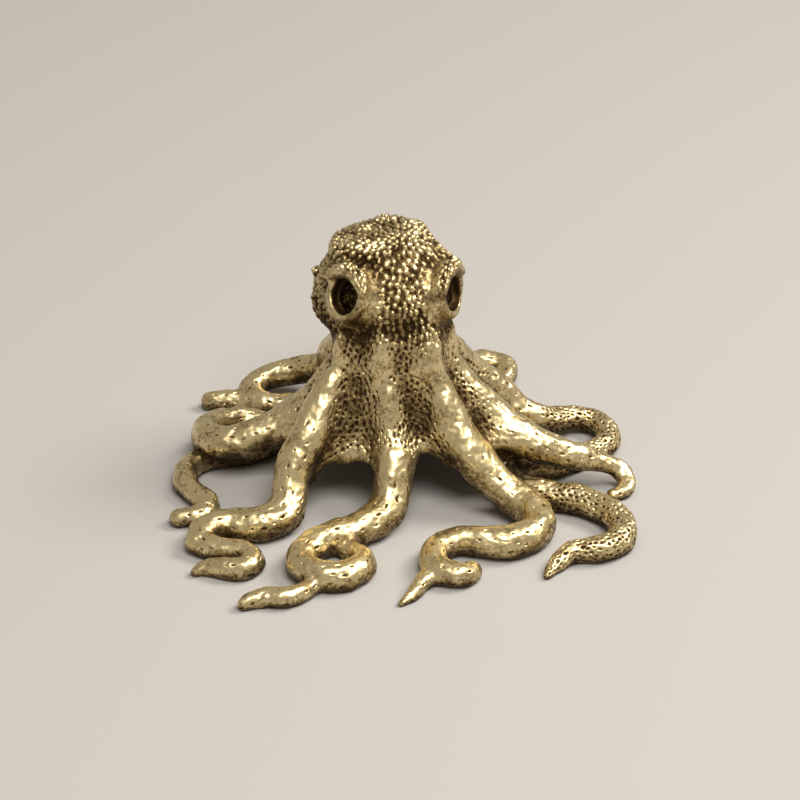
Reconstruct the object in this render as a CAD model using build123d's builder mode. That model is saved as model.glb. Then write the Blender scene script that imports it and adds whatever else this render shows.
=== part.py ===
from build123d import *
import os

# An octopus ornament in cast brass. Eight arms run down the ribs of a webbed skirt and curl over
# the table, and an egg-shaped mantle with two deep eye cups stands on the neck.
# Lengths are millimetres. X points to the viewer's right, Y away from the viewer and Z up.
# Places are written as shares of the sizes that they follow.

# Sizes of the whole figure
arm_reach = 25.0            # from the neck's axis out to the farthest curls
neck_height = 14.5          # the height of the joint between skirt and head
arm_radius = 1.8            # the arm where it leaves the skirt
rest_flat = 0.15            # how deep each lying arm is dressed flat underneath

# Sizes of the skirt
hollow_crown = 5.9          # the brass between the hollow's top and the neck joint
web_bottom = 3.4            # where the webs' lower rim would end without the hollow

# Sizes of the head
mantle_width = 15.3
mantle_height = 12.2
mantle_left = 1.0           # how far its middle lies to the left of the neck's axis
mantle_back = 2.8           # and behind it
mantle_rise = 5.6           # from the neck joint up to the mantle's middle
mantle_tilt = 8.0           # degrees that its top leans back
mantle_lean = 9.0           # degrees that its top leans to the left
wart_radius = 0.95          # a wart of size 1, at its foot
wart_tip_radius = 0.4
wart_height = 0.6           # how far a wart stands out of the mantle
wart_root = 0.5             # how deep its foot lies under the mantle's surface

# Sizes of one eye
eye_rim_radius = 2.45
eye_cup_radius = 1.7
eye_rim_height = 0.35       # how far the rim's edge stands out of the mantle
eye_cup_depth = 1.25
eye_inlay_thickness = 0.5
eye_inlay_crown = 0.25      # how far the inlay's middle bulges
eye_boss_depth = 3.0
eye_boss_spread = 0.7       # how much wider the boss is at its foot
brow_radius = 0.85
brow_gap = 0.15             # between the cup's edge and the brow's underside

# A cutter runs past the solid that it cuts by this much
overrun = 1.0

# The levels of the ribs, as shares of neck_height: in the head, at the neck joint and down the skirt
level_shares = (1.18, 1.0, 0.72, 0.48)
# The arm's radius at the levels from the neck joint down, as shares of arm_radius
rib_radius_shares = (0.45, 0.78, 0.95)
# Halfway between the mantle's widest ring and its pole, as a share of either half size
shoulder_share = 0.707
# How far the skirt's ridge stands out from a rib's middle at each level, as shares of arm_radius
crest_shares = (0.8, 0.72, 0.35, 0.1)
# How far the web lies in from the straight line between two ridges at each level
web_shares = (0.99, 0.99, 0.96, 0.93)
# The skirt's rim is the last level carried outward, and the neck's top inside the mantle is drawn in
rim_spread_share = 1.22
neck_top_share = 0.85
# The hollow's width, its depth and how far its middle lies behind the neck's axis, as shares of arm_reach
hollow_shares = (0.84, 1.04, 0.064)
# Where the arm begins on its rib, from the neck joint to the next level
arm_start_share = 0.18
# The spacing of an arm's round sections, as a share of arm_radius, the fewest spans between them
# in a stretch, and the spans that one loft covers
section_spacing_share = 0.9
fewest_spans = 3
spans_per_loft = 5
# The ball that rounds a stretch's end or a fold lies just inside the arm's surface
ball_share = 0.98

# Each arm's middle line. A rib gives x and y at each level, and a run gives x, y, lift and radius:
# x and y are shares of arm_reach, and lift, the height of the underside over the table, and radius
# are shares of arm_radius. The arms go round the neck from the front.
rib_shares = {
    "arm_front": ((-0.035, -0.145), (-0.035, -0.165), (-0.03, -0.205), (-0.02, -0.265)),
    "arm_front_right": ((0.115, -0.14), (0.135, -0.165), (0.195, -0.205), (0.265, -0.265)),
    "arm_right": ((0.17, -0.02), (0.19, -0.03), (0.285, -0.05), (0.42, -0.085)),
    "arm_back_right": ((0.15, 0.10), (0.18, 0.13), (0.255, 0.20), (0.35, 0.25)),
    "arm_back": ((0.05, 0.18), (0.065, 0.22), (0.10, 0.33), (0.145, 0.455)),
    "arm_back_left": ((-0.135, 0.155), (-0.165, 0.18), (-0.215, 0.32), (-0.255, 0.47)),
    "arm_left": ((-0.195, 0.02), (-0.20, 0.02), (-0.265, 0.02), (-0.38, 0.015)),
    "arm_front_left": ((-0.175, -0.10), (-0.205, -0.115), (-0.30, -0.19), (-0.37, -0.285)),
}
run_shares = {
    "arm_front": (
        (-0.012, -0.335, 2.0, 1.08), (-0.015, -0.4, 0.95, 1.1), (-0.045, -0.465, 0.3, 1.07),
        (-0.125, -0.535, 0.03, 1.0), (-0.235, -0.6, 0.0, 0.95), (-0.335, -0.67, 0.0, 0.9),
        (-0.37, -0.765, 0.0, 0.85), (-0.315, -0.855, 0.0, 0.84), (-0.21, -0.87, 0.0, 0.82),
        (-0.135, -0.8, 0.0, 0.76), (-0.135, -0.715, 0.0, 0.66), (-0.185, -0.67, 0.0, 0.55),
    ),
    "arm_front_right": (
        (0.325, -0.305, 1.95, 1.0), (0.41, -0.335, 0.9, 1.0), (0.495, -0.385, 0.3, 1.0),
        (0.555, -0.47, 0.08, 1.0), (0.54, -0.575, 0.0, 1.0), (0.46, -0.635, 0.0, 0.95),
        (0.355, -0.64, 0.0, 0.9), (0.25, -0.62, 0.0, 0.85), (0.17, -0.655, 0.0, 0.8),
        (0.14, -0.735, 0.0, 0.78), (0.165, -0.815, 0.0, 0.76), (0.235, -0.85, 0.0, 0.72),
        (0.29, -0.81, 0.0, 0.6),
    ),
    "arm_right": (
        (0.54, -0.13, 2.1, 0.92), (0.67, -0.14, 1.55, 0.88), (0.77, -0.125, 1.2, 0.76),
        (0.835, -0.11, 0.95, 0.62), (0.892, -0.105, 0.6, 0.54), (0.933, -0.145, 0.25, 0.5),
        (0.923, -0.205, 0.05, 0.48), (0.873, -0.23, 0.0, 0.45),
    ),
    "arm_back_right": (
        (0.44, 0.255, 2.0, 0.9), (0.53, 0.24, 1.1, 0.84), (0.62, 0.26, 0.6, 0.8),
        (0.705, 0.305, 0.35, 0.74), (0.79, 0.32, 0.2, 0.72), (0.86, 0.27, 0.1, 0.72),
        (0.88, 0.185, 0.05, 0.72), (0.845, 0.105, 0.0, 0.72), (0.77, 0.045, 0.0, 0.75),
        (0.685, -0.01, 0.0, 0.78), (0.6, -0.045, 0.0, 0.8), (0.52, -0.07, 0.0, 0.8),
        (0.47, -0.125, 0.0, 0.8), (0.47, -0.195, 0.0, 0.81), (0.53, -0.25, 0.0, 0.84),
        (0.615, -0.28, 0.0, 0.87), (0.715, -0.315, 0.0, 0.87), (0.805, -0.37, 0.0, 0.84),
        (0.88, -0.465, 0.0, 0.81), (0.893, -0.565, 0.0, 0.79), (0.848, -0.642, 0.0, 0.78),
        (0.76, -0.672, 0.0, 0.76), (0.68, -0.69, 0.0, 0.68), (0.625, -0.743, 0.0, 0.5),
        (0.585, -0.81, 0.0, 0.28),
    ),
    "arm_back": (
        (0.19, 0.59, 1.35, 0.88), (0.24, 0.69, 0.7, 0.82), (0.305, 0.77, 0.35, 0.76),
        (0.38, 0.82, 0.2, 0.7), (0.455, 0.808, 0.1, 0.66), (0.478, 0.735, 0.05, 0.6),
        (0.45, 0.66, 0.0, 0.52), (0.41, 0.595, 0.0, 0.44), (0.365, 0.545, 0.0, 0.34),
    ),
    "arm_back_left": (
        (-0.295, 0.56, 1.6, 0.9), (-0.345, 0.625, 1.1, 0.88), (-0.42, 0.655, 0.7, 0.84),
        (-0.5, 0.65, 0.5, 0.82), (-0.575, 0.625, 0.35, 0.78), (-0.62, 0.56, 0.2, 0.76),
        (-0.59, 0.49, 0.05, 0.74), (-0.51, 0.46, 0.0, 0.72), (-0.42, 0.48, 0.0, 0.68),
    ),
    "arm_left": (
        (-0.49, -0.01, 1.95, 0.98), (-0.6, -0.035, 1.5, 1.0), (-0.71, -0.025, 1.2, 0.98),
        (-0.775, 0.04, 1.1, 0.9), (-0.78, 0.14, 1.0, 0.8), (-0.72, 0.235, 0.85, 0.72),
        (-0.625, 0.28, 0.6, 0.68), (-0.545, 0.28, 0.3, 0.66),
    ),
    "arm_front_left": (
        (-0.418, -0.348, 1.5, 1.04), (-0.43, -0.43, 0.5, 1.03), (-0.487, -0.503, 0.1, 1.0),
        (-0.585, -0.515, 0.0, 0.95), (-0.675, -0.505, 0.0, 0.9), (-0.75, -0.54, 0.0, 0.84),
        (-0.78, -0.62, 0.0, 0.75),
    ),
}
# What an arm does past a tight fold or a crossing: each stretch begins inside the arm
end_shares = {
    "arm_front": (
        ((-0.24, -0.77, 0.0, 0.5), (-0.305, -0.855, 0.0, 0.5), (-0.345, -0.935, 0.0, 0.55),
         (-0.395, -0.98, 0.0, 0.6), (-0.47, -0.99, 0.0, 0.58), (-0.545, -0.995, 0.0, 0.48),
         (-0.585, -1.02, 0.0, 0.4)),
    ),
    "arm_front_right": (
        ((0.16, -0.71, 0.0, 0.5), (0.145, -0.79, 0.0, 0.52), (0.115, -0.845, 0.0, 0.52),
         (0.085, -0.91, 0.0, 0.46), (0.05, -0.965, 0.0, 0.35), (0.015, -1.0, 0.0, 0.22)),
    ),
    "arm_back_left": (
        ((-0.45, 0.48, 0.0, 0.6), (-0.545, 0.463, 0.0, 0.68), (-0.645, 0.498, 0.0, 0.66),
         (-0.73, 0.508, 0.0, 0.63), (-0.795, 0.51, 0.0, 0.6)),
    ),
    "arm_left": (
        ((-0.545, 0.28, 0.3, 0.66), (-0.505, 0.21, 0.0, 0.68), (-0.54, 0.12, 0.0, 0.7),
         (-0.63, 0.055, 0.0, 0.72), (-0.72, 0.045, 0.0, 0.72), (-0.795, 0.01, 0.0, 0.72),
         (-0.85, -0.06, 0.0, 0.72), (-0.86, -0.15, 0.0, 0.72), (-0.82, -0.235, 0.0, 0.7),
         (-0.765, -0.3, 0.0, 0.68), (-0.755, -0.37, 0.0, 0.64), (-0.805, -0.415, 0.0, 0.6),
         (-0.866, -0.415, 0.0, 0.56)),
    ),
    "arm_front_left": (
        ((-0.77, -0.61, 0.0, 0.7), (-0.705, -0.66, 0.0, 0.69), (-0.62, -0.68, 0.0, 0.68),
         (-0.562, -0.725, 0.0, 0.7)),
        ((-0.57, -0.715, 0.0, 0.66), (-0.575, -0.785, 0.0, 0.68), (-0.64, -0.8, 0.0, 0.65),
         (-0.715, -0.775, 0.0, 0.54), (-0.78, -0.785, 0.0, 0.37)),
    ),
}

# Each eye's place on the mantle, as shares of the mantle's half sizes, and the way that it faces
eye_places = {
    "eye_inlay_left": ((-0.50, -0.83, 0.27), (-0.67, -0.64, 0.33)),
    "eye_inlay_right": ((0.84, -0.54, -0.06), (0.89, -0.39, 0.23)),
}
# The brow over each eye: its angle round the cup in degrees, and its radius as a share of brow_radius
brow_shares = ((20, 0.55), (55, 0.9), (90, 1.0), (125, 0.9), (160, 0.55))
# Warts on the mantle: each one's direction from the mantle's middle and its size as a share of the
# wart's sizes. The largest is the crest.
wart_shares = (
    (0.10, 0.47, 0.88, 1.55), (-0.20, 0.08, 0.98, 1.10), (0.49, 0.13, 0.86, 1.10),
    (0.30, -0.41, 0.86, 0.90), (0.21, -0.60, 0.78, 0.70), (-0.70, 0.29, 0.65, 0.70),
    (-0.94, 0.09, 0.32, 0.75), (-0.94, -0.32, 0.10, 0.80), (0.98, 0.12, 0.16, 0.75),
    (-0.42, 0.80, 0.42, 0.85), (0.50, 0.78, 0.35, 0.80), (-0.80, 0.60, -0.05, 0.70),
)


def over_axis(place_share, height):
    """A place given as shares of the arms' reach, at a height."""
    return Vector(place_share[0] * arm_reach, place_share[1] * arm_reach, height)


def along_run(shares):
    """The middle points and radii of a stretch that lies on the table or lifts off it."""
    points = []
    radii = []
    for x_share, y_share, lift_share, radius_share in shares:
        radius = radius_share * arm_radius
        height = radius - rest_flat + lift_share * arm_radius
        points.append(over_axis((x_share, y_share), height))
        radii.append(radius)
    return points, radii


def along_rib(name):
    """The middle points and radii of an arm from its start below the neck down its rib."""
    heights = [share * neck_height for share in level_shares]
    levels = [over_axis(place, height) for place, height in zip(rib_shares[name], heights)]
    start = levels[1] + (levels[2] - levels[1]) * arm_start_share
    radii = [share * arm_radius for share in rib_radius_shares]
    return [start, *levels[2:]], radii


def width_along(points, radii, share):
    """The radius at a share of the way along a route, in even steps between its points."""
    lengths = [(after - before).length for before, after in zip(points, points[1:])]
    left = share * sum(lengths)
    for length, radius, following in zip(lengths, radii, radii[1:]):
        if left <= length:
            return radius + (following - radius) * left / length
        left -= length
    return radii[-1]


def tube(points, radii):
    """A tube of changing radius: short lofts, end to end, through circles along a smooth route."""
    with BuildLine() as route:
        Spline(*points)
    line = route.edge()
    count = max(fewest_spans, round(line.length / (section_spacing_share * arm_radius)))
    with BuildPart() as stretch:
        for first in range(0, count, spans_per_loft):
            for step in range(first, min(first + spans_per_loft, count) + 1):
                share = step / count
                ahead = line % share
                upward = Vector(0, 0, 1) - ahead * ahead.Z
                with BuildSketch(Plane(origin=line @ share, x_dir=upward, z_dir=ahead)):
                    Circle(width_along(points, radii, share))
            loft()
    return stretch.part


def ring_points(level):
    """The closed outline of the neck or skirt at one level: eight ridges with a web between each two."""
    height = level_shares[level] * neck_height
    ridges = []
    for ribs in rib_shares.values():
        middle = over_axis(ribs[level], 0)
        ridges.append(middle + middle.normalized() * crest_shares[level] * arm_radius)
    points = []
    for ridge, following in zip(ridges, [*ridges[1:], ridges[0]]):
        web = (ridge + following) / 2 * web_shares[level]
        points.append(ridge + Vector(0, 0, height))
        points.append(web + Vector(0, 0, height))
    return points


def ring(points):
    """One closed section of the neck or skirt."""
    with BuildSketch(Plane.XY.offset(points[0].Z)) as section:
        with BuildLine():
            Spline(*[Vector(point.X, point.Y, 0) for point in points], periodic=True)
        make_face()
    return section.sketch


def spread(points, share, height):
    """A section carried outward or drawn in, at another height."""
    return [Vector(point.X * share, point.Y * share, height) for point in points]


# The mantle's egg, which stands leaning on the neck
mantle_centre = (-mantle_left, mantle_back, neck_height + mantle_rise)
head_plane = Plane(origin=mantle_centre).rotated((-mantle_tilt, -mantle_lean, 0))
half_sizes = (mantle_width / 2, mantle_width / 2, mantle_height / 2)
with BuildPart() as egg:
    with BuildSketch(Plane.XZ):
        with BuildLine():
            Spline(
                (0, -mantle_height / 2),
                (shoulder_share * mantle_width / 2, -shoulder_share * mantle_height / 2),
                (mantle_width / 2, 0),
                (shoulder_share * mantle_width / 2, shoulder_share * mantle_height / 2),
                (0, mantle_height / 2),
                tangents=((1, 0), (-1, 0)),
            )
            Line((0, mantle_height / 2), (0, -mantle_height / 2))
        make_face()
    revolve(axis=Axis.Z)


def on_egg(direction):
    """The point where a direction from the egg's middle leaves its surface."""
    length = sum((part / half) ** 2 for part, half in zip(direction, half_sizes)) ** 0.5
    return head_plane.from_local_coords(Vector(*direction) / length)


def eye_plane(name):
    """The plane of one eye's rim: its Z faces out of the cup and its Y points up the brow."""
    place_share, facing = eye_places[name]
    direction = [share * half for share, half in zip(place_share, half_sizes)]
    outward = Vector(*facing).normalized()
    across = Vector(0, 0, 1).cross(outward).normalized()
    seat = Plane(origin=on_egg(direction), x_dir=across, z_dir=outward)
    return seat.offset(eye_rim_height)


# The head: the egg on the neck, with a boss, a brow and a cup for each eye
with BuildPart() as mantle:
    neck_top = spread(ring_points(0), neck_top_share, mantle_centre[2])
    loft(sections=[ring(ring_points(1)), ring(ring_points(0)), ring(neck_top)])
    add(egg.part.moved(head_plane.location))
    split(bisect_by=Plane.XY.offset(neck_height), keep=Keep.TOP)
    for name in eye_places:
        rim = eye_plane(name)
        with BuildSketch(rim):
            Circle(eye_rim_radius)
        with BuildSketch(rim.offset(-eye_boss_depth)):
            Circle(eye_rim_radius + eye_boss_spread)
        loft()
    for name in eye_places:
        rim = eye_plane(name)
        with BuildSketch(rim.offset(-eye_cup_depth)):
            Circle(eye_cup_radius)
        extrude(amount=eye_cup_depth + overrun, mode=Mode.SUBTRACT)
    for name in eye_places:
        rim = eye_plane(name)
        brow_arc = eye_cup_radius + brow_gap + brow_radius
        points = [
            rim.from_local_coords(Vector(brow_arc, 0, 0).rotate(Axis.Z, angle)) for angle, _ in brow_shares
        ]
        add(tube(points, [share * brow_radius for _, share in brow_shares]))
    for *direction, size_share in wart_shares:
        outward = (on_egg(direction) - head_plane.origin).normalized()
        foot = Plane(origin=on_egg(direction) - outward * wart_root, z_dir=outward)
        with Locations(foot.location):
            Cone(
                size_share * wart_radius,
                size_share * wart_tip_radius,
                wart_root + size_share * wart_height,
                align=(Align.CENTER, Align.CENTER, Align.MIN),
            )
mantle.part.label = "mantle"

# The blackened floor of each eye cup, slightly crowned
inlays = []
for name in eye_places:
    floor = eye_plane(name).offset(-eye_cup_depth)
    crown_radius = (eye_cup_radius**2 + eye_inlay_crown**2) / (2 * eye_inlay_crown)
    with BuildPart() as inlay:
        with BuildSketch(floor):
            Circle(eye_cup_radius)
        extrude(amount=eye_inlay_thickness)
        with Locations(floor.offset(eye_inlay_thickness - crown_radius)):
            Sphere(crown_radius, mode=Mode.INTERSECT)
    inlay.part.label = name
    inlays.append(inlay.part)

# The arms, each dressed flat where it lies on the table
arms = []
for name in rib_shares:
    rib_points, rib_radii = along_rib(name)
    run_points, run_radii = along_run(run_shares[name])
    stretches = [(rib_points + run_points, rib_radii + run_radii)]
    stretches += [along_run(shares) for shares in end_shares.get(name, ())]
    with BuildPart() as arm:
        for points, radii in stretches:
            add(tube(points, radii))
            with Locations(points[-1]):
                Sphere(ball_share * radii[-1])
        split(bisect_by=Plane.XY, keep=Keep.TOP)
    arm.part.label = name
    arms.append(arm.part)

# An arm that crosses over another one is fitted to it, so the two touch along the crossing
for over, under in (("arm_right", "arm_back_right"),):
    names = [arm.label for arm in arms]
    upper = names.index(over)
    lower = names.index(under)
    with BuildPart() as fitted:
        add(arms[upper])
        add(arms[lower], mode=Mode.SUBTRACT)
    fitted.part.label = over
    arms[upper] = fitted.part

# The hollow under the body is half an egg
hollow_width, hollow_depth, hollow_back = (share * arm_reach for share in hollow_shares)
hollow_height = neck_height - hollow_crown
with BuildPart() as hollow:
    Sphere(1)
    scale(by=(hollow_width / 2, hollow_depth / 2, hollow_height))

# The webbed skirt, open below, with a seat for each arm along its rib
with BuildPart() as web_skirt:
    rim = spread(ring_points(3), rim_spread_share, web_bottom)
    loft(sections=[*(ring(ring_points(level)) for level in (1, 2, 3)), ring(rim)])
    add(hollow.part.moved(Location((0, hollow_back, 0))), mode=Mode.SUBTRACT)
    for arm in arms:
        add(arm, mode=Mode.SUBTRACT)
web_skirt.part.label = "web_skirt"

# The figure stands with the middle of its spread over the origin
pieces = [mantle.part, web_skirt.part, *arms, *inlays]
boxes = [piece.bounding_box() for piece in pieces]
middle_x = (min(box.min.X for box in boxes) + max(box.max.X for box in boxes)) / 2
middle_y = (min(box.min.Y for box in boxes) + max(box.max.Y for box in boxes)) / 2
print(f"the neck's axis stands at {-middle_x:.3f}, {-middle_y:.3f}")

os.makedirs("parts", exist_ok=True)
for piece in pieces:
    placed = piece.moved(Location((-middle_x, -middle_y, 0)))
    placed.label = piece.label
    export_step(placed, f"parts/{placed.label}.step")
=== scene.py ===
import math
from collections import namedtuple

import bmesh
import bpy
import numpy as np
import openvdb
from mathutils import Matrix, Vector, noise


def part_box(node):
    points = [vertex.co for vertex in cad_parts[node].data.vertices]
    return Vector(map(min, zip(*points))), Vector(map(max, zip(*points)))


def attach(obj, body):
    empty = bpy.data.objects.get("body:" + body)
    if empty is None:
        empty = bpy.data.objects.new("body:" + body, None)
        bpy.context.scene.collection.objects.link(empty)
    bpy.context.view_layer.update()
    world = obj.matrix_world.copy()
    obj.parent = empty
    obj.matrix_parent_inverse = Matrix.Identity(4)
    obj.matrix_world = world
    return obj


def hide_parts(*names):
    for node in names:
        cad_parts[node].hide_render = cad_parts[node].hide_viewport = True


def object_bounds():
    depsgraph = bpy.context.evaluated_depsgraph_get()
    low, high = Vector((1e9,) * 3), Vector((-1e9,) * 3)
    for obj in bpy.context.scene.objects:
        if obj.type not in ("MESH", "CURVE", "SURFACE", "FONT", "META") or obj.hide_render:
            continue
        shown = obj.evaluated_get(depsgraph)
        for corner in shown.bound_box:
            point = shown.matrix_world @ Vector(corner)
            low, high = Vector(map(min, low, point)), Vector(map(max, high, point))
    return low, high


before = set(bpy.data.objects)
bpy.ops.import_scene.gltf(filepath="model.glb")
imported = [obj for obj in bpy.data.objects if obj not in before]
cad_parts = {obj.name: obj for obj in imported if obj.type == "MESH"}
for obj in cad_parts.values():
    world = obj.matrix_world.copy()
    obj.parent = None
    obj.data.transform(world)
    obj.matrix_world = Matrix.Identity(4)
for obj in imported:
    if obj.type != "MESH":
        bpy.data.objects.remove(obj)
cad_box = [[round(value, 6) for value in corner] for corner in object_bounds()]

# A cast-brass octopus, darkened and then rubbed bright on its high places. Its eight arms, webbed
# skirt and mantle are one flowing skin, which is drawn over the solids as one surface, given its
# pebbles and pits, and then parted again along the joints between the sections.
# Lengths here are millimetres unless a name says otherwise. The frame is in metres.

MM = 1000.0                       # millimetres in a metre
TINY = 1e-9                       # keeps a length that is divided by from being zero
ARMS = sorted(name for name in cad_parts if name.startswith("arm_"))
SECTIONS = ["mantle", "web_skirt", *ARMS]
EYES = ["eye_inlay_left", "eye_inlay_right"]

# The grid on which the skin is drawn
PITCH = 0.2
BAND = 3.4                        # how far from a solid its distances are kept
MARGIN = 3.0                      # free space round the figure
SEAM_OVERLAP = 0.03               # joins solids that touch face to face
BELL_REACH = 2.6                  # how many of its widths a blur looks round itself
GRID_END = 1.001                  # how many of its steps from the grid's end a place is still read
COARSE = 3                        # the grid's steps that one step of the coarse fields takes

# How the wax was worked. A pair of values is where something begins and where it is complete.
NECK = 14.5                       # height of the joint between head and skirt
NECK_AXIS = (-0.69, 2.18)         # where the neck's middle stands
CREASE_FILLET = 2.6               # radius of the fillets between ribs, webs and head
FILL = 0.55                       # the share of the fillets that the wax got
HEAD_SPARE = 0.32                 # the share of them that the neck and head do without
HEAD_SPARE_HEIGHT = (NECK - 6, NECK - 1)
EYE_SPARE = (2.5, 3.4)            # distance from an eye's middle at which the fillets come in
BODY_SPREAD = (13.0, 17.0)        # distance from the neck's axis at which they have faded out
BODY_HEIGHT = (3.4, 6.0)          # height at which they come in
SOFTNESS = 0.28                   # how much every edge is rounded by rubbing
RIB_PROUD = 0.38                  # how much farther the arms stand out of the skirt as ribs
RIB_PROUD_HEIGHT = (5.0, 8.0)
RIB_ROOT = 13.8                   # height at which the neck's ribs are rooted in the arms
RIB_RISE = 3.2                    # how far they run up from there
RIB_LEAN = -0.1                   # how far they lean outward per millimetre of rise: a little inward
LEAN_REACH = 4                    # the distance from the neck's axis at which they lean that much
RIB_RADIUS = 0.72
# Where the webs are cut away between the arms: middle and half sizes
ARCHES = [((-6.9, -5.1, 3.2), (1.9, 2.6, 2.3)), ((5.4, -5.7, 3.2), (1.9, 2.6, 2.3))]

SKIN_OUT = 0.12                   # the marks sink the skin by about this much again
LABEL_ROUNDS = 8                  # smoothing of the joints between sections
CAP_DEPTH = 0.45                  # how deep the caps between sections lie in the brass
CAP_STEP = 0.7                    # the longest edge of a cap
CAP_ROUNDS = 5
SINK_ROUNDS = 8

# What the skin's finishes follow, and where each comes in
FORM_BLUR = 0.6                   # width of the blur that leaves the figure's large forms
FORM_REACH = 1.6                  # how far from the skin its slope is read
GRAIN_BLUR = 1.2                  # width over which the direction of the grain is one
BULGE_BLUR = 0.7
SHELTER_BLUR = 1.8
PEBBLE_HEIGHT = (NECK + 1.8, NECK + 4.0)
WEB_TOP = (NECK + 2.6, NECK + 4.4)
RIM_EDGE = (3.0, 3.9)             # distance from an eye's middle at which the pebbles come in
RIDGE = (0.04, 0.14)              # how much the skin bulges on a ridge
RIDGE_SMOOTH = 0.9                # the share of the webs' marks that is missing there
WEB_REACH = (9.0, 13.0)
WEB_HEIGHT = (3.0, 4.5)
SUCKER_REACH = (15.0, 17.0)
# How bright the brass is at each place: rubbed bright on bulges, dark with patina in sheltered hollows,
# where shade is painted as well, and with painted shade on faces that point down. For each thing that
# counts: the share left at the dark end, and the two values between which it comes in.
RUBBED_BULGE = (0.3, (-0.16, 0.07))
# Patina in sheltered hollows, with painted shade there as well
OPEN_WEAR_AND_SHADE = (0.35, (0.78, 0.5))
# Painted shade: faces that point down are darker
PAINTED_SHADE_FACING_DOWN = (0.3, (-0.6, 0.5))
CUP_EDGE = (1.85, 2.15)           # distance from an eye's middle at which it starts
UNDERSIDE = -0.5                  # faces that point down more than this aren't refined

# The skin's relief. Each kind of mark: where it lies, least spacing, half length, half width, smallest
# share of that size, the two distances from its middle between which its depth changes, depth, whether
# the patina darkens it, and how soon it is at its densest as it comes in.
Mark = namedtuple(
    "Mark", "where spacing half_length half_width smallest profile depth darkened crowding",
    defaults=(True, 1.0))
PEBBLES = Mark("pebbled", 0.62, 0.62, 0.42, 0.8, (1.1, 0.3), 0.32, crowding=50.0)
MARKS = {
    "web pits": Mark("webbed", 0.5, 0.44, 0.2, 0.6, (0.3, 1.0), 0.2),
    "web dents": Mark("webbed", 0.45, 0.3, 0.24, 0.6, (0.0, 1.1), 0.055, darkened=False),
    "arm pits": Mark("dimpled", 1.1, 0.5, 0.2, 0.35, (0.25, 1.0), 0.14),
    "arm dents": Mark("dimpled", 0.8, 0.8, 0.55, 0.5, (0.0, 1.1), 0.022, darkened=False),
    "sucker marks": Mark("suckered", 0.52, 0.34, 0.24, 0.7, (0.3, 1.0), 0.15),
}
FULL_DENSITY = 20.0               # marks tried for each square of the spacing
GAP_DARKNESS = 1.5                # how sharply the patina gathers between the pebbles
UNEVENNESS = (0.42, 0.3)          # waves per millimetre and depth of the hand-worked wax
WANDER = (1.1, 0.5)               # waves per millimetre and size of the marks' uneven outlines

# The finishes. Clouds and specks in the patina: waves per millimetre, detail, roughness, and the most
# that they take from the wear and painted shade and add to them.
WEAR_PATTERNS = [(0.55, 5.0, 0.6, (-0.32, 0.1)), (3.2, 3.0, 0.5, (-0.26, 0.08))]
NOISE_SPAN = (0.36, 0.6)          # the noise values that are stretched over that span
STAIN_WEAR = 0.85                 # how much wear the darkest pit lacks
BRASS_TONES = [(0.0, "#443520"), (0.22, "#655338"), (0.5, "#9d8960"), (0.85, "#dcca9c")]
BRASS_DULLNESS = (0.55, 0.34)     # roughness of the blackened and of the rubbed brass
MOULD_GRAINS_PER_MM = 4.5
MOULD_GRAIN_DEPTH = 0.05
# The black of the eye floors, and the lighter tone of their painted glints
BLACK_TONES = [(0.5, "#15110b"), (0.66, "#6b5630")]
GLINTS_PER_MM = 1.6
CRUST_DEPTH = 0.2

# The eye cups' floors
LUMPS_PER_MM = 1.1
LUMP_DEPTH = 0.2                  # less than the floors' thickness at their rims
LUMP_LEVEL = 0.6                  # the share of that depth by which the floor is sunk on average
LUMP_CUTS = 3
SAME_PLACE = 1e-6                 # metres within which points are one

# The stage, in metres, watts and hex codes: a long lens 30 degrees above the table, and soft lamps
VIEW_TARGET = Vector((-0.34, -1.468, 10.5)) / MM
VIEW_ELEVATION = math.radians(30.0)
VIEW_DISTANCE = 0.3
VIEW_ANGLE = math.radians(15.19)
VIEW_NEAREST = 0.01
FLOOR_SIZE = 2.0
LAMPS = {
    "key": ((0.36, 0.07, 0.41), 0.22, 2.2, "#fffaf2"),
    "overhead": ((0.1, -0.26, 0.52), 0.3, 2.7, "#fffcf6"),
}


def smooth_step(value, low, high):
    """0 below low, 1 above high and smooth between."""
    share = np.clip((value - low) / (high - low), 0.0, 1.0)
    return share * share * (3 - 2 * share)


def linear(code):
    """The linear colour of an sRGB hex code."""
    shares = [int(code[i:i + 2], 16) / 255 for i in (1, 3, 5)]
    return (*[s / 12.92 if s <= 0.04045 else ((s + 0.055) / 1.055) ** 2.4 for s in shares], 1.0)


def add_node(tree, kind, sockets=None, **settings):
    """A new node with its settings, and with each named input set to a value or linked to a socket."""
    node = tree.nodes.new(kind)
    for name, value in settings.items():
        setattr(node, name, value)
    for key, value in (sockets or {}).items():
        if isinstance(value, bpy.types.NodeSocket):
            tree.links.new(value, node.inputs[key])
        else:
            node.inputs[key].default_value = value
    return node


def values_of(data, key, width, kind=np.float32):
    """A mesh's values as an array, in rows of that width where it is more than one."""
    values = np.empty(len(data) * width, kind)
    data.foreach_get(key, values)
    return values.reshape(-1, width) if width > 1 else values


# The distance fields

lowest = np.array(cad_box[0]) * MM - MARGIN
highest = np.array(cad_box[1]) * MM + MARGIN
first_cell = np.floor(lowest / PITCH).astype(int)
grid_shape = tuple(np.ceil(highest / PITCH).astype(int) - first_cell + 1)
grid_axes = [(first_cell[i] + np.arange(grid_shape[i])) * PITCH for i in range(3)]


def distance_field(points, **faces):
    """Signed distances, negative inside, from a closed surface of triangles or quads."""
    level_set = openvdb.FloatGrid.createLevelSetFromPolygons(
        np.ascontiguousarray(points, np.float32), halfWidth=BAND / PITCH,
        transform=openvdb.createLinearTransform(voxelSize=PITCH), **faces)
    field = np.empty(grid_shape, np.float32)
    level_set.copyToArray(field, ijk=tuple(int(i) for i in first_cell))
    return field


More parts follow.
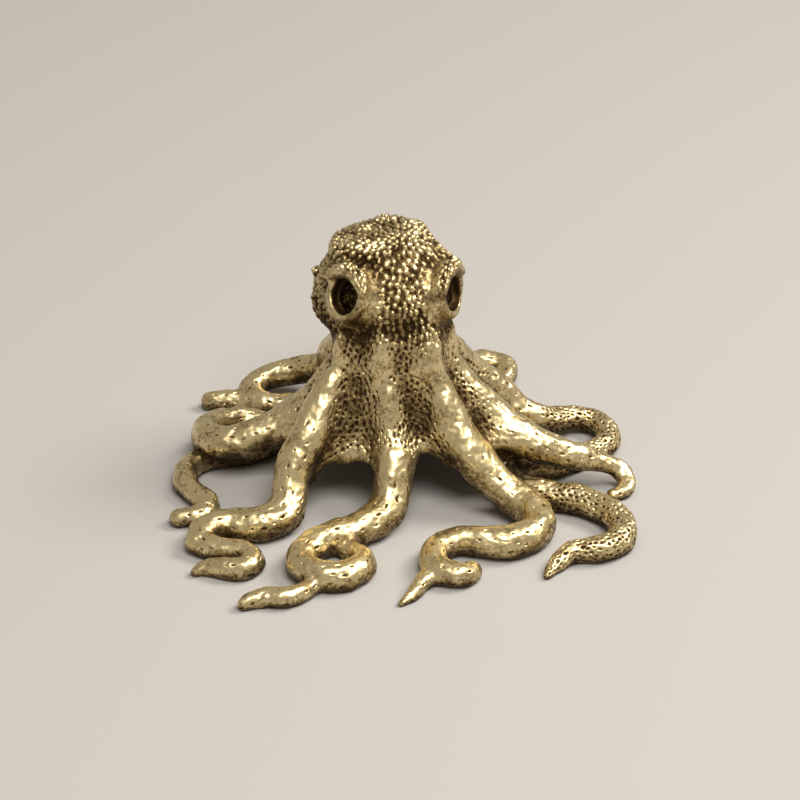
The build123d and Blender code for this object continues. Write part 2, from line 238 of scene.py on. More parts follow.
def surface_of(field, level=0.0):
    """The points and four-sided faces where a field has a value."""
    grid = openvdb.FloatGrid(BAND)
    grid.copyFromArray(field, ijk=tuple(int(i) for i in first_cell))
    grid.transform = openvdb.createLinearTransform(voxelSize=PITCH)
    return grid.convertToQuads(isovalue=level)


def blurred(field, width, pitch=PITCH):
    """A field averaged over its surroundings with a bell curve of that width."""
    steps = max(1, math.ceil(BELL_REACH * width / pitch))
    weights = np.exp(-0.5 * (np.arange(-steps, steps + 1) * pitch / width) ** 2)
    weights = (weights / weights.sum()).astype(np.float32)
    for axis in range(3):
        turned = np.moveaxis(field, axis, 0)
        padded = np.concatenate([turned[:1].repeat(steps, 0), turned, turned[-1:].repeat(steps, 0)])
        total = np.zeros_like(turned)
        for shift, weight in enumerate(weights):
            total += weight * padded[shift:shift + len(turned)]
        field = np.moveaxis(total, 0, axis)
    return field


def sampled(field, points, step=1):
    """A field's values at points, between the grid's points or every step of them."""
    place = (points / PITCH - first_cell) / step
    place = np.clip(place, 0, np.array(field.shape[:3]) - GRID_END)
    cell = place.astype(int)
    share = place - cell
    total = 0.0
    for corner in np.ndindex(2, 2, 2):
        weight = np.prod(np.where(corner, share, 1 - share), axis=1)
        value = field[tuple((cell + corner).T)]
        total = total + (weight * value.T).T
    return total


solids = {}
for name in SECTIONS:
    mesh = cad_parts[name].data
    mesh.calc_loop_triangles()
    triangles = values_of(mesh.loop_triangles, "vertices", 3, np.int32)
    solids[name] = distance_field(values_of(mesh.vertices, "co", 3) * MM, triangles=triangles)
eye_middles = [sum(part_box(name), Vector()) / 2 * MM for name in EYES]

grid_xyz = np.meshgrid(*grid_axes, indexing="ij", sparse=True)
grid_x, grid_y, grid_z = grid_xyz
for middle, half in ARCHES:
    inside = np.sqrt(sum(((axis - m) / h) ** 2 for axis, m, h in zip(grid_xyz, middle, half)))
    cut_away = ((1 - inside) * min(half)).astype(np.float32)
    solids["web_skirt"] = np.maximum(solids["web_skirt"], cut_away)
union = np.minimum.reduce(list(solids.values())) - SEAM_OVERLAP

# The arms stand prouder where they are ribs on the skirt
rib_share = RIB_PROUD * smooth_step(grid_z, *RIB_PROUD_HEIGHT)
for name in ARMS:
    union = np.minimum(union, solids[name] - rib_share.astype(np.float32))

# Each rib runs on from its arm up the neck and dies out under the head
neck_x, neck_y = NECK_AXIS
root_level = int(round(RIB_ROOT / PITCH)) - first_cell[2]
for name in ARMS:
    inside = solids[name][:, :, root_level] < 0
    root_x = np.broadcast_to(grid_x[:, :, 0], inside.shape)[inside].mean()
    root_y = np.broadcast_to(grid_y[:, :, 0], inside.shape)[inside].mean()
    rise = np.clip(grid_z - RIB_ROOT, 0, RIB_RISE)
    off_x = grid_x - root_x - RIB_LEAN * rise * (root_x - neck_x) / LEAN_REACH
    off_y = grid_y - root_y - RIB_LEAN * rise * (root_y - neck_y) / LEAN_REACH
    rib = np.sqrt(off_x ** 2 + off_y ** 2 + (grid_z - RIB_ROOT - rise) ** 2) - RIB_RADIUS
    union = np.minimum(union, rib.astype(np.float32))

# Creases are filled by growing the figure and shrinking it back, on the body only
grown_points, grown_quads = surface_of(union, CREASE_FILLET)
filled = np.minimum(distance_field(grown_points, quads=grown_quads) + CREASE_FILLET, union)
from_axis = np.sqrt((grid_x - neck_x) ** 2 + (grid_y - neck_y) ** 2)
on_body = (1 - smooth_step(from_axis, *BODY_SPREAD)) * smooth_step(grid_z, *BODY_HEIGHT)
on_body = on_body * (FILL - HEAD_SPARE * smooth_step(grid_z, *HEAD_SPARE_HEIGHT))
for middle in eye_middles:
    from_eye = np.sqrt((grid_x - middle.x) ** 2 + (grid_y - middle.y) ** 2 + (grid_z - middle.z) ** 2)
    on_body = on_body * smooth_step(from_eye, *EYE_SPARE)
skin_field = blurred(union + (filled - union) * on_body.astype(np.float32), SOFTNESS) - SKIN_OUT

# The skin as one mesh

points, quads = surface_of(skin_field)
corners = points[quads]
turned = np.cross(corners[:, 1] - corners[:, 0], corners[:, 2] - corners[:, 0])
if np.einsum("ij,ij->", turned, corners[:, 0]) < 0:
    quads = quads[:, ::-1]
face_middles = points[quads].mean(axis=1)

sides = np.sort(np.stack([quads, np.roll(quads, -1, axis=1)], axis=2).reshape(-1, 2), axis=1)
order = np.lexsort((sides[:, 1], sides[:, 0]))
same = np.all(sides[order[1:]] == sides[order[:-1]], axis=1)
neighbours = np.stack([order[:-1][same], order[1:][same]], axis=1) // 4


def voted(section):
    """The section that most of a face's neighbours and the face itself have."""
    votes = np.zeros((len(section), len(SECTIONS)))
    votes[np.arange(len(section)), section] = 1
    tally = votes.copy()
    np.add.at(tally, neighbours[:, 0], votes[neighbours[:, 1]])
    np.add.at(tally, neighbours[:, 1], votes[neighbours[:, 0]])
    return tally.argmax(axis=1)


def islands_of(section):
    """A number for each face, which is the same all over a connected patch of one section."""
    joined = neighbours[section[neighbours[:, 0]] == section[neighbours[:, 1]]]
    island = np.arange(len(section))
    while True:
        lower = np.minimum(island[joined[:, 0]], island[joined[:, 1]])
        earlier = island.copy()
        np.minimum.at(island, earlier[joined[:, 0]], lower)
        np.minimum.at(island, earlier[joined[:, 1]], lower)
        island = island[island]
        if np.array_equal(island, earlier):
            return island


def without_islands(section):
    """Gives each patch that is cut off from its section's largest one to a neighbour."""
    while True:
        island = islands_of(section)
        size = np.bincount(island, minlength=len(section))[island]
        largest = np.zeros(len(SECTIONS), int)
        np.maximum.at(largest, section, size)
        edge = neighbours[section[neighbours[:, 0]] != section[neighbours[:, 1]]]
        edge = np.concatenate([edge, edge[:, ::-1]])
        edge = edge[size[edge[:, 0]] < largest[section[edge[:, 0]]]]
        if not len(edge):
            return section
        section = section.copy()
        small = np.isin(island, np.unique(island[edge[:, 0]]))
        takers = dict(zip(island[edge[::-1, 0]], section[edge[::-1, 1]]))
        section[small] = [takers[i] for i in island[small]]


section = np.argmin([sampled(solids[name], face_middles) for name in SECTIONS], axis=0)
for _ in range(LABEL_ROUNDS):
    section = voted(section)
section = without_islands(section)

# What the skin's relief, patina and painted shade follow, at each point of the coarse skin

coarse_pitch = PITCH * COARSE
coarse_field = blurred(skin_field[::COARSE, ::COARSE, ::COARSE], FORM_BLUR, coarse_pitch)
slope = np.stack(np.gradient(coarse_field, coarse_pitch), axis=-1)
slope *= (np.abs(coarse_field) < FORM_REACH)[..., None]
tensor = np.empty((*coarse_field.shape, 3, 3), np.float32)
for i, j in ((0, 0), (0, 1), (0, 2), (1, 1), (1, 2), (2, 2)):
    tensor[..., i, j] = blurred(slope[..., i] * slope[..., j], GRAIN_BLUR, coarse_pitch)
    tensor[..., j, i] = tensor[..., i, j]
grain = np.linalg.eigh(sampled(tensor, points, COARSE))[1][:, :, 0]

normal = sampled(slope, points, COARSE)
normal /= np.linalg.norm(normal, axis=1, keepdims=True) + TINY
section_of_point = np.zeros(len(points), int)
section_of_point[quads] = section[:, None]
downhill = normal * normal[:, 2:] - (0, 0, 1)
on_head = section_of_point == SECTIONS.index("mantle")
grain[on_head] = downhill[on_head] / (np.linalg.norm(downhill[on_head], axis=1, keepdims=True) + TINY)

occupied = np.clip(0.5 - coarse_field / (2 * coarse_pitch), 0, 1)
bulge = sampled(blurred(skin_field, BULGE_BLUR), points)
shelter = sampled(blurred(occupied, SHELTER_BLUR, coarse_pitch), points, COARSE)
from_eyes = np.min([np.linalg.norm(points - middle, axis=1) for middle in eye_middles], axis=0)
reach = np.hypot(points[:, 0] - neck_x, points[:, 1] - neck_y)
height = points[:, 2]
above_neck = smooth_step(height, *PEBBLE_HEIGHT)
off_rims = smooth_step(from_eyes, *RIM_EDGE)
ridge = smooth_step(bulge, *RIDGE)
near_body = (1 - smooth_step(reach, *WEB_REACH)) * smooth_step(height, *WEB_HEIGHT)
near_body = np.maximum(near_body, section_of_point == SECTIONS.index("web_skirt"))
on_longest_arm = section_of_point == SECTIONS.index("arm_back_right")
suckered = on_longest_arm * smooth_step(reach, *SUCKER_REACH)
# The brass's brightness: rubbed on bulges, patina in sheltered hollows with painted shade there too, and
# painted shade on faces that point down
rubbed = smooth_step(from_eyes, *CUP_EDGE)
wear_and_shade_factors = ((bulge, RUBBED_BULGE), (shelter, OPEN_WEAR_AND_SHADE), (normal[:, 2], PAINTED_SHADE_FACING_DOWN))
for value, (least, between) in wear_and_shade_factors:
    rubbed = rubbed * (least + (1 - least) * smooth_step(value, *between))
attributes = {
    "rubbed": rubbed,
    "pebbled": above_neck * off_rims,
    "webbed": near_body * (1 - smooth_step(height, *WEB_TOP)) * (1 - RIDGE_SMOOTH * ridge),
    "dimpled": (1 - near_body) * (1 - above_neck) * (1 - suckered),
    "suckered": suckered * (1 - above_neck),
}

# The fine skin: faces that can be seen are cut in four, and the whole is rounded

corners = points[quads]
face_normals = np.cross(corners[:, 2] - corners[:, 0], corners[:, 3] - corners[:, 1])
face_normals /= np.linalg.norm(face_normals, axis=1, keepdims=True) + TINY
outwards = face_middles[:, :2] - NECK_AXIS
faces_inward = np.sum(face_normals[:, :2] * outwards, axis=1) < 0
in_hollow = (section == SECTIONS.index("web_skirt")) & faces_inward
fine = (face_normals[:, 2] > UNDERSIDE) & ~in_hollow

side_keys = np.sort(np.stack([quads, np.roll(quads, -1, axis=1)], axis=2), axis=2) @ (len(points), 1)
edge_keys, side_edge = np.unique(side_keys, return_inverse=True)
side_edge = side_edge.reshape(-1, 4)
cut = np.zeros(len(edge_keys), bool)
cut[side_edge[fine]] = True
edge_point = len(points) + np.cumsum(cut) - 1
edge_ends = np.stack(np.divmod(edge_keys[cut], len(points)), axis=1)
middle_point = len(points) + len(edge_ends) + np.arange(fine.sum())


def with_middles(values):
    """Values at the coarse points, and between them at the new points."""
    return np.concatenate([values, values[edge_ends].mean(axis=1), values[quads[fine]].mean(axis=1)])


quarters = np.concatenate([
    np.stack([
        quads[fine, i], edge_point[side_edge[fine, i]], middle_point, edge_point[side_edge[fine, i - 1]],
    ], axis=1)
    for i in range(4)
])
faces = quarters.tolist()
face_section = np.concatenate([section[fine]] * 4 + [section[~fine]])
for corner_row, edge_row in zip(quads[~fine], side_edge[~fine]):
    face = []
    for corner, edge in zip(corner_row, edge_row):
        face.append(int(corner))
        if cut[edge]:
            face.append(int(edge_point[edge]))
    faces.append(face)

# Each point goes to the mean of its faces' middles, which rounds the skin
sizes = np.array([len(face) for face in faces])
flat = np.array([point for face in faces for point in face])
owner = np.repeat(np.arange(len(faces)), sizes)
fine_points = with_middles(points)
middles = np.stack([np.bincount(owner, fine_points[flat, i]) for i in range(3)], axis=1) / sizes[:, None]
uses = np.bincount(flat)
fine_points = np.stack([np.bincount(flat, middles[owner, i]) for i in range(3)], axis=1) / uses[:, None]

skin = bpy.data.meshes.new("skin")
skin.from_pydata(fine_points, [], faces)
skin.polygons.foreach_set("use_smooth", np.ones(len(faces), bool))
for name, values in attributes.items():
    layer = skin.attributes.new(name, "FLOAT", "POINT").data
    layer.foreach_set("value", with_middles(values).astype(np.float32))
grain_vectors = with_middles(grain).astype(np.float32).ravel()
skin.attributes.new("grain", "FLOAT_VECTOR", "POINT").data.foreach_set("vector", grain_vectors)

# Materials


def set_tones(ramp, tones):
    """Gives a colour ramp its stops: places and sRGB hex codes."""
    for place, code in tones:
        ramp.elements.new(place).color = linear(code)
    ramp.elements.remove(ramp.elements[0])
    ramp.elements.remove(ramp.elements[-1])


# Cast brass, blackened in a patina bath and then rubbed: dark in every pit and crease, bright on the
# high places, with a fine grain left by the investment mould. Painted shade darkens it further on faces
# that point down and in sheltered places.
brass = bpy.data.materials.new("antiqued cast brass")
brass.use_nodes = True
tree = brass.node_tree
shader = tree.nodes["Principled BSDF"]
shader.inputs["Metallic"].default_value = 1.0
here = add_node(tree, "ShaderNodeTexCoord").outputs["Object"]
# Worn brass and patina, together with the painted shade on sheltered and downward-facing places, set the
# tone
worn_and_shaded = add_node(tree, "ShaderNodeAttribute", attribute_name="rubbed").outputs["Fac"]
for per_mm, detail, roughness, (least, most) in WEAR_PATTERNS:
    pattern = add_node(tree, "ShaderNodeTexNoise", {
        "Vector": here, "Scale": per_mm * MM, "Detail": detail, "Roughness": roughness}).outputs["Fac"]
    pattern = add_node(tree, "ShaderNodeMapRange", {
        "Value": pattern, "From Min": NOISE_SPAN[0], "From Max": NOISE_SPAN[1],
        "To Min": least, "To Max": most}).outputs[0]
    worn_and_shaded = add_node(tree, "ShaderNodeMath", {0: worn_and_shaded, 1: pattern}, operation="ADD").outputs[0]
stain = add_node(tree, "ShaderNodeAttribute", attribute_name="stain").outputs["Fac"]
stain = add_node(tree, "ShaderNodeMath", {0: stain, 1: STAIN_WEAR}, operation="MULTIPLY").outputs[0]
worn_and_shaded = add_node(tree, "ShaderNodeMath", {0: worn_and_shaded, 1: stain}, operation="SUBTRACT").outputs[0]
tones = add_node(tree, "ShaderNodeValToRGB", {"Fac": worn_and_shaded})
set_tones(tones.color_ramp, BRASS_TONES)
tree.links.new(tones.outputs["Color"], shader.inputs["Base Color"])
dull = add_node(tree, "ShaderNodeMapRange", {
    "Value": worn_and_shaded, "From Min": 0.0, "From Max": 0.8,
    "To Min": BRASS_DULLNESS[0], "To Max": BRASS_DULLNESS[1]}).outputs[0]
tree.links.new(dull, shader.inputs["Roughness"])
mould = add_node(tree, "ShaderNodeTexNoise", {
    "Vector": here, "Scale": MOULD_GRAINS_PER_MM * MM, "Detail": 2.0}).outputs["Fac"]
grit = add_node(tree, "ShaderNodeBump", {
    "Height": mould, "Strength": 0.22, "Distance": MOULD_GRAIN_DEPTH / MM})
tree.links.new(grit.outputs["Normal"], shader.inputs["Normal"])

# The eye cups' floors: the same brass left black, with a few painted glints where it is lumpy
black = bpy.data.materials.new("blackened brass")
black.use_nodes = True
tree = black.node_tree
shader = tree.nodes["Principled BSDF"]
shader.inputs["Metallic"].default_value = 1.0
shader.inputs["Roughness"].default_value = 0.28
here = add_node(tree, "ShaderNodeTexCoord").outputs["Object"]
glints = add_node(tree, "ShaderNodeTexNoise", {
    "Vector": here, "Scale": GLINTS_PER_MM * MM, "Detail": 3.0, "Distortion": 2.0}).outputs["Fac"]
tones = add_node(tree, "ShaderNodeValToRGB", {"Fac": glints})
set_tones(tones.color_ramp, BLACK_TONES)
tree.links.new(tones.outputs["Color"], shader.inputs["Base Color"])
crust = add_node(tree, "ShaderNodeBump", {
    "Height": glints, "Strength": 0.8, "Distance": CRUST_DEPTH / MM})
tree.links.new(crust.outputs["Normal"], shader.inputs["Normal"])

# The relief, as Geometry Nodes


def interface(tree, inputs, outputs):
    """Names a tree's inputs and outputs."""
    for name, kind, value in inputs:
        socket = tree.interface.new_socket(name, in_out="INPUT", socket_type=f"NodeSocket{kind}")
        if value is not None:
            socket.default_value = value
    for name, kind in outputs:
        tree.interface.new_socket(name, in_out="OUTPUT", socket_type=f"NodeSocket{kind}")


# Marks strewn over a mesh, each an ellipse that lies along the grain. Its output is how far a place is
# from the nearest mark's middle, where 1 is that mark's rim.
marks = bpy.data.node_groups.new("marks along the grain", "GeometryNodeTree")
interface(marks, [
    ("Mesh", "Geometry", None),
    ("Share", "Float", 1.0),
    ("Place", "Vector", None),
    ("Spacing", "Float", 1.0),
    ("Half Length", "Float", 0.5),
    ("Half Width", "Float", 0.5),
    ("Smallest", "Float", 0.8),
    ("Seed", "Int", 0),
], [("Distance", "Float")])
given = add_node(marks, "NodeGroupInput").outputs
square = add_node(marks, "ShaderNodeMath", {0: given["Spacing"], 1: 2.0}, operation="POWER").outputs[0]
density = add_node(marks, "ShaderNodeMath", {0: FULL_DENSITY, 1: square}, operation="DIVIDE")
strewn = add_node(marks, "GeometryNodeDistributePointsOnFaces", {
    "Mesh": given["Mesh"], "Distance Min": given["Spacing"], "Density Max": density.outputs[0],
    "Density Factor": given["Share"], "Seed": given["Seed"]}, distribute_method="POISSON")
nearest = add_node(marks, "GeometryNodeSampleNearest", {
    "Geometry": strewn.outputs["Points"], "Sample Position": given["Place"]})
middle = add_node(marks, "GeometryNodeSampleIndex", {
    "Geometry": strewn.outputs["Points"], "Index": nearest.outputs["Index"],
    "Value": add_node(marks, "GeometryNodeInputPosition").outputs[0]}, data_type="FLOAT_VECTOR")
lie = add_node(marks, "GeometryNodeInputNamedAttribute", {"Name": "grain"}, data_type="FLOAT_VECTOR")
lie = add_node(marks, "GeometryNodeSampleIndex", {
    "Geometry": strewn.outputs["Points"], "Index": nearest.outputs["Index"],
    "Value": lie.outputs["Attribute"]}, data_type="FLOAT_VECTOR")
chance = add_node(marks, "FunctionNodeRandomValue", {
    2: given["Smallest"], 3: 1.0, "Seed": given["Seed"]})
size = add_node(marks, "GeometryNodeSampleIndex", {
    "Geometry": strewn.outputs["Points"], "Index": nearest.outputs["Index"],
    "Value": chance.outputs[1]}).outputs["Value"]
offset = add_node(marks, "ShaderNodeVectorMath", {
    0: given["Place"], 1: middle.outputs["Value"]}, operation="SUBTRACT").outputs[0]
along = add_node(marks, "ShaderNodeVectorMath", {
    0: offset, 1: lie.outputs["Value"]}, operation="DOT_PRODUCT").outputs["Value"]
whole_square = add_node(marks, "ShaderNodeVectorMath", {
    0: offset, 1: offset}, operation="DOT_PRODUCT").outputs["Value"]
along_square = add_node(marks, "ShaderNodeMath", {0: along, 1: along}, operation="MULTIPLY").outputs[0]
across_square = add_node(marks, "ShaderNodeMath", {
    0: whole_square, 1: along_square}, operation="SUBTRACT").outputs[0]
shares = []
for distance_square, half in ((along_square, given["Half Length"]), (across_square, given["Half Width"])):
    half_square = add_node(marks, "ShaderNodeMath", {0: half, 1: 2.0}, operation="POWER").outputs[0]
    shares.append(add_node(marks, "ShaderNodeMath", {
        0: distance_square, 1: half_square}, operation="DIVIDE").outputs[0])
both = add_node(marks, "ShaderNodeMath", {0: shares[0], 1: shares[1]}, operation="ADD").outputs[0]
root = add_node(marks, "ShaderNodeMath", {0: both, 1: 0.5}, operation="POWER").outputs[0]
relative = add_node(marks, "ShaderNodeMath", {0: root, 1: size}, operation="DIVIDE").outputs[0]
add_node(marks, "NodeGroupOutput", {"Distance": relative})

relief = bpy.data.node_groups.new("cast skin", "GeometryNodeTree")
interface(relief, [
    ("Geometry", "Geometry", None),
    ("Waves per mm", "Float", UNEVENNESS[0]),
    ("Wave Depth", "Float", UNEVENNESS[1]),
    ("Seed", "Int", 7),
], [("Geometry", "Geometry")])
given = add_node(relief, "NodeGroupInput").outputs
position = add_node(relief, "GeometryNodeInputPosition").outputs[0]
wander = add_node(relief, "ShaderNodeTexNoise", {"Vector": position, "Scale": WANDER[0], "Detail": 1.0})
wander = add_node(relief, "ShaderNodeVectorMath", {
    0: wander.outputs["Color"], 1: (0.5, 0.5, 0.5)}, operation="SUBTRACT").outputs[0]
wander = add_node(relief, "ShaderNodeVectorMath", {
    0: wander, "Scale": WANDER[1]}, operation="SCALE").outputs[0]
loose_place = add_node(relief, "ShaderNodeVectorMath", {
    0: position, 1: wander}, operation="ADD").outputs[0]


def layer_of(mark, seed):
    """One layer of marks: its share from 0 at the skin to 1 at full depth, and its depth."""
    weight = add_node(relief, "GeometryNodeInputNamedAttribute", {
        "Name": mark.where}, data_type="FLOAT").outputs[0]
    crowd = add_node(relief, "ShaderNodeMath", {
        0: weight, 1: mark.crowding}, operation="MULTIPLY", use_clamp=True).outputs[0]
    turn = add_node(relief, "ShaderNodeMath", {0: given["Seed"], 1: seed}, operation="ADD").outputs[0]
    layer = add_node(relief, "GeometryNodeGroup", node_tree=marks)
    for key, socket in {
        "Mesh": given["Geometry"], "Share": crowd, "Place": loose_place, "Seed": turn,
    }.items():
        relief.links.new(socket, layer.inputs[key])
    for key, value in {
        "Spacing": mark.spacing, "Half Length": mark.half_length, "Half Width": mark.half_width,
        "Smallest": mark.smallest,
    }.items():
        layer.inputs[key].default_value = value
    deepest, skin_level = mark.profile
    shape = add_node(relief, "ShaderNodeMapRange", {
        "Value": layer.outputs["Distance"], "From Min": deepest, "From Max": skin_level,
        "To Min": 1.0, "To Max": 0.0}, interpolation_type="SMOOTHSTEP").outputs["Result"]
    share = add_node(relief, "ShaderNodeMath", {0: shape, 1: weight}, operation="MULTIPLY").outputs[0]
    deep = add_node(relief, "ShaderNodeMath", {0: share, 1: mark.depth}, operation="MULTIPLY").outputs[0]
    return share, deep


stain, total = layer_of(PEBBLES, 0)
stain = add_node(relief, "ShaderNodeMath", {0: stain, 1: GAP_DARKNESS}, operation="POWER").outputs[0]
for number, mark in enumerate(MARKS.values(), 1):
    share, deep = layer_of(mark, number)
    if mark.darkened:
        stain = add_node(relief, "ShaderNodeMath", {0: stain, 1: share}, operation="MAXIMUM").outputs[0]
    total = add_node(relief, "ShaderNodeMath", {0: total, 1: deep}, operation="ADD").outputs[0]
waves = add_node(relief, "ShaderNodeTexNoise", {
    "Vector": position, "Scale": given["Waves per mm"], "Detail": 2.0}).outputs["Fac"]
waves = add_node(relief, "ShaderNodeMapRange", {
    "Value": waves, "From Min": 0.3, "From Max": 0.7}).outputs["Result"]
waves = add_node(relief, "ShaderNodeMath", {
    0: waves, 1: given["Wave Depth"]}, operation="MULTIPLY").outputs[0]
total = add_node(relief, "ShaderNodeMath", {0: total, 1: waves}, operation="ADD").outputs[0]
outward = add_node(relief, "GeometryNodeInputNormal").outputs[0]
sunk = add_node(relief, "ShaderNodeVectorMath", {
    0: outward, "Scale": total}, operation="SCALE").outputs[0]
sunk = add_node(relief, "ShaderNodeVectorMath", {0: sunk, "Scale": -1.0}, operation="SCALE").outputs[0]
stained = add_node(relief, "GeometryNodeStoreNamedAttribute", {
    "Geometry": given["Geometry"], "Name": "stain", "Value": stain}, data_type="FLOAT", domain="POINT")
moved = add_node(relief, "GeometryNodeSetPosition", {
    "Geometry": stained.outputs["Geometry"], "Offset": sunk})
real = add_node(relief, "GeometryNodeRealizeInstances", {"Geometry": moved.outputs["Geometry"]})
finished = add_node(relief, "GeometryNodeSetMaterial", {
    "Geometry": real.outputs["Geometry"], "Material": brass})
add_node(relief, "NodeGroupOutput", {"Geometry": finished.outputs["Geometry"]})

carrier = bpy.data.objects.new("skin", skin)
bpy.context.collection.objects.link(carrier)
carving = carrier.modifiers.new("cast skin", "NODES")
carving.node_group = relief
whole = bpy.data.meshes.new_from_object(carrier.evaluated_get(bpy.context.evaluated_depsgraph_get()))
bpy.data.objects.remove(carrier)
whole.transform(Matrix.Scale(1 / MM, 4))

# Each section as a closed piece


whole_points = np.clip(values_of(whole.vertices, "co", 3), *cad_box)
whole_normals = values_of(whole.vertex_normals, "vector", 3)
corner_points = values_of(whole.loops, "vertex_index", 1, np.int32)
face_starts = values_of(whole.polygons, "loop_start", 1, np.int32)
whole_values = {
    name: values_of(whole.attributes[name].data, "value", 1) for name in (*attributes, "stain")
}


def into_brass(places):
    """Places moved the shortest way until they lie CAP_DEPTH under the skin."""
    for _ in range(SINK_ROUNDS):
        depth = sampled(skin_field, places)
        slope_here = np.stack([
            sampled(skin_field, places + step) - sampled(skin_field, places - step)
            for step in np.eye(3) * PITCH
        ], axis=1)
        slope_here /= np.linalg.norm(slope_here, axis=1, keepdims=True) + TINY
        places = places - np.clip(depth + CAP_DEPTH, 0, None)[:, None] * slope_here
    return places


def caps_of(shape):
    """The faces that have been marked as caps."""
    return [face for face in shape.faces if face.material_index == 1]


def close_inside(shape):
    """Closes a section's rims with caps that run through the brass."""
    skin_count = len(shape.verts)
    rims = [edge for edge in shape.edges if edge.is_boundary]
    caps = bmesh.ops.holes_fill(shape, edges=rims, sides=0)["faces"]
    for face in caps:
        face.material_index = 1
    for _ in range(CAP_ROUNDS):
        bmesh.ops.triangulate(shape, faces=caps_of(shape), quad_method="BEAUTY", ngon_method="BEAUTY")
        long_edges = {
            edge for face in caps_of(shape) for edge in face.edges
            if edge.calc_length() > CAP_STEP / MM
            and all(side.material_index == 1 for side in edge.link_faces)
        }
        if long_edges:
            bmesh.ops.subdivide_edges(shape, edges=list(long_edges), cuts=1)
    bmesh.ops.triangulate(shape, faces=caps_of(shape))
    for face in shape.faces:
        face.material_index = 0
    shape.verts.index_update()
    inner = [vertex for vertex in shape.verts if vertex.index >= skin_count]
    if inner:
        places = into_brass(np.array([vertex.co for vertex in inner]) * MM)
        for vertex, place in zip(inner, places):
            vertex.co = place / MM


def section_piece(index, name):
    """The part of the skin that is one section, closed where it meets its neighbours."""
    chosen = np.flatnonzero(face_section == index)
    starts = face_starts[chosen]
    face_sizes = sizes[chosen]
    first = np.cumsum(face_sizes) - face_sizes
    loops = np.repeat(starts - first, face_sizes) + np.arange(face_sizes.sum())
    used, local = np.unique(corner_points[loops], return_inverse=True)
    mesh = bpy.data.meshes.new(f"{name}_skin")
    mesh.vertices.add(len(used))
    mesh.vertices.foreach_set("co", whole_points[used].ravel())
    mesh.loops.add(len(local))
    mesh.loops.foreach_set("vertex_index", local.astype(np.int32))
    mesh.polygons.add(len(chosen))
    mesh.polygons.foreach_set("loop_start", first.astype(np.int32))
    mesh.update(calc_edges=True)
    for key, values in whole_values.items():
        mesh.attributes.new(key, "FLOAT", "POINT").data.foreach_set("value", values[used])
    shape = bmesh.new()
    shape.from_mesh(mesh)
    close_inside(shape)
    for face in shape.faces:
        face.smooth = True
    shape.to_mesh(mesh)
    shape.free()
    # The whole skin's normals keep the joints from showing
    kept_normals = np.zeros((len(mesh.vertices), 3), np.float32)
    kept_normals[:len(used)] = whole_normals[used]
    mesh.normals_split_custom_set_from_vertices(kept_normals)
    mesh.materials.append(brass)
    piece = bpy.data.objects.new(f"{name}_skin", mesh)
    bpy.context.collection.objects.link(piece)
    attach(piece, "root")
    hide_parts(name)


for index, name in enumerate(SECTIONS):
    section_piece(index, name)


def eye_floor(name):
    """The blackened floor of an eye cup, left lumpy by the casting."""
    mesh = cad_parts[name].data.copy()
    mesh.materials.clear()
    mesh.materials.append(black)
    shape = bmesh.new()
    shape.from_mesh(mesh)
    bmesh.ops.remove_doubles(shape, verts=shape.verts, dist=SAME_PLACE)
    bmesh.ops.subdivide_edges(shape, edges=shape.edges, cuts=LUMP_CUTS, use_grid_fill=True)
    bmesh.ops.triangulate(shape, faces=shape.faces)
    shape.normal_update()
    outward = (sum(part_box(name), Vector()) - sum(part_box("mantle"), Vector())).normalized()
    moves = []
    for vertex in shape.verts:
        depth = LUMP_DEPTH / MM * (noise.noise(vertex.co * MM * LUMPS_PER_MM) - LUMP_LEVEL)
        moves.append(vertex.normal * depth * max(0.0, vertex.normal.dot(outward)))
    for vertex, move in zip(shape.verts, moves):
        vertex.co += move
    for face in shape.faces:
        face.smooth = True
    shape.to_mesh(mesh)
    shape.free()
    piece = bpy.data.objects.new(f"{name}_floor", mesh)
    bpy.context.collection.objects.link(piece)
    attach(piece, "root")
    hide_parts(name)


for name in EYES:
    eye_floor(name)

# Floor, light and camera

bpy.ops.mesh.primitive_plane_add(size=FLOOR_SIZE, location=(0, 0, 0))
floor = bpy.context.object
floor.name = "floor"

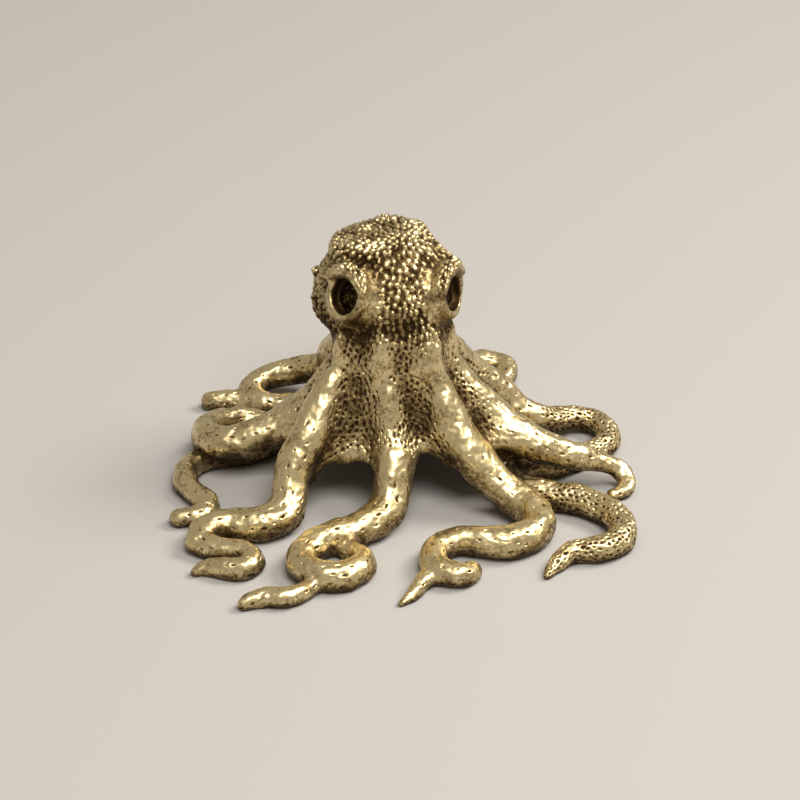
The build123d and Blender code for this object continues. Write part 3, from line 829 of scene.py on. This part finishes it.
# Matt paper: plain, pale and without a sheen
paper = bpy.data.materials.new("matt paper")
paper.use_nodes = True
shader = paper.node_tree.nodes["Principled BSDF"]
shader.inputs["Base Color"].default_value = linear("#b6b3b0")
shader.inputs["Roughness"].default_value = 0.9
floor.data.materials.append(paper)

# The plain light falls on the paper, and the pale one is what the camera and the brass see around them
world = bpy.data.worlds.new("soft studio")
bpy.context.scene.world = world
world.use_nodes = True
sky = world.node_tree
sky.nodes.clear()
path = add_node(sky, "ShaderNodeLightPath")
seen = add_node(sky, "ShaderNodeMath", {
    0: path.outputs["Is Camera Ray"], 1: path.outputs["Is Glossy Ray"]}, operation="ADD")
seen = add_node(sky, "ShaderNodeMath", {
    0: seen.outputs["Value"], 1: path.outputs["Is Transmission Ray"]}, operation="ADD", use_clamp=True)
plain = add_node(sky, "ShaderNodeBackground", {"Color": linear("#fff2df"), "Strength": 0.28})
pale = add_node(sky, "ShaderNodeBackground", {"Color": linear("#d5cec2"), "Strength": 0.64})
mixed = add_node(sky, "ShaderNodeMixShader", {
    0: seen.outputs["Value"], 1: plain.outputs["Background"], 2: pale.outputs["Background"]})
add_node(sky, "ShaderNodeOutputWorld", {"Surface": mixed.outputs["Shader"]})


def soft_lamp(name, place, size, power, colour_code):
    """A square lamp that faces the figure's middle."""
    lamp = bpy.data.lights.new(name, "AREA")
    lamp.size = size
    lamp.energy = power
    lamp.color = linear(colour_code)[:3]
    holder = bpy.data.objects.new(name, lamp)
    bpy.context.collection.objects.link(holder)
    holder.location = place
    holder.rotation_euler = (VIEW_TARGET - Vector(place)).to_track_quat("-Z", "Y").to_euler()


for name, (place, size, power, colour_code) in LAMPS.items():
    soft_lamp(name, place, size, power, colour_code)

view = bpy.data.cameras.new("view")
view.angle = VIEW_ANGLE
view.clip_start = VIEW_NEAREST
camera = bpy.data.objects.new("view", view)
bpy.context.collection.objects.link(camera)
towards_camera = Vector((0, -math.cos(VIEW_ELEVATION), math.sin(VIEW_ELEVATION)))
camera.location = VIEW_TARGET + VIEW_DISTANCE * towards_camera
camera.rotation_euler = (VIEW_TARGET - camera.location).to_track_quat("-Z", "Y").to_euler()
bpy.context.scene.camera = camera
bpy.context.scene.view_settings.view_transform = "Standard"
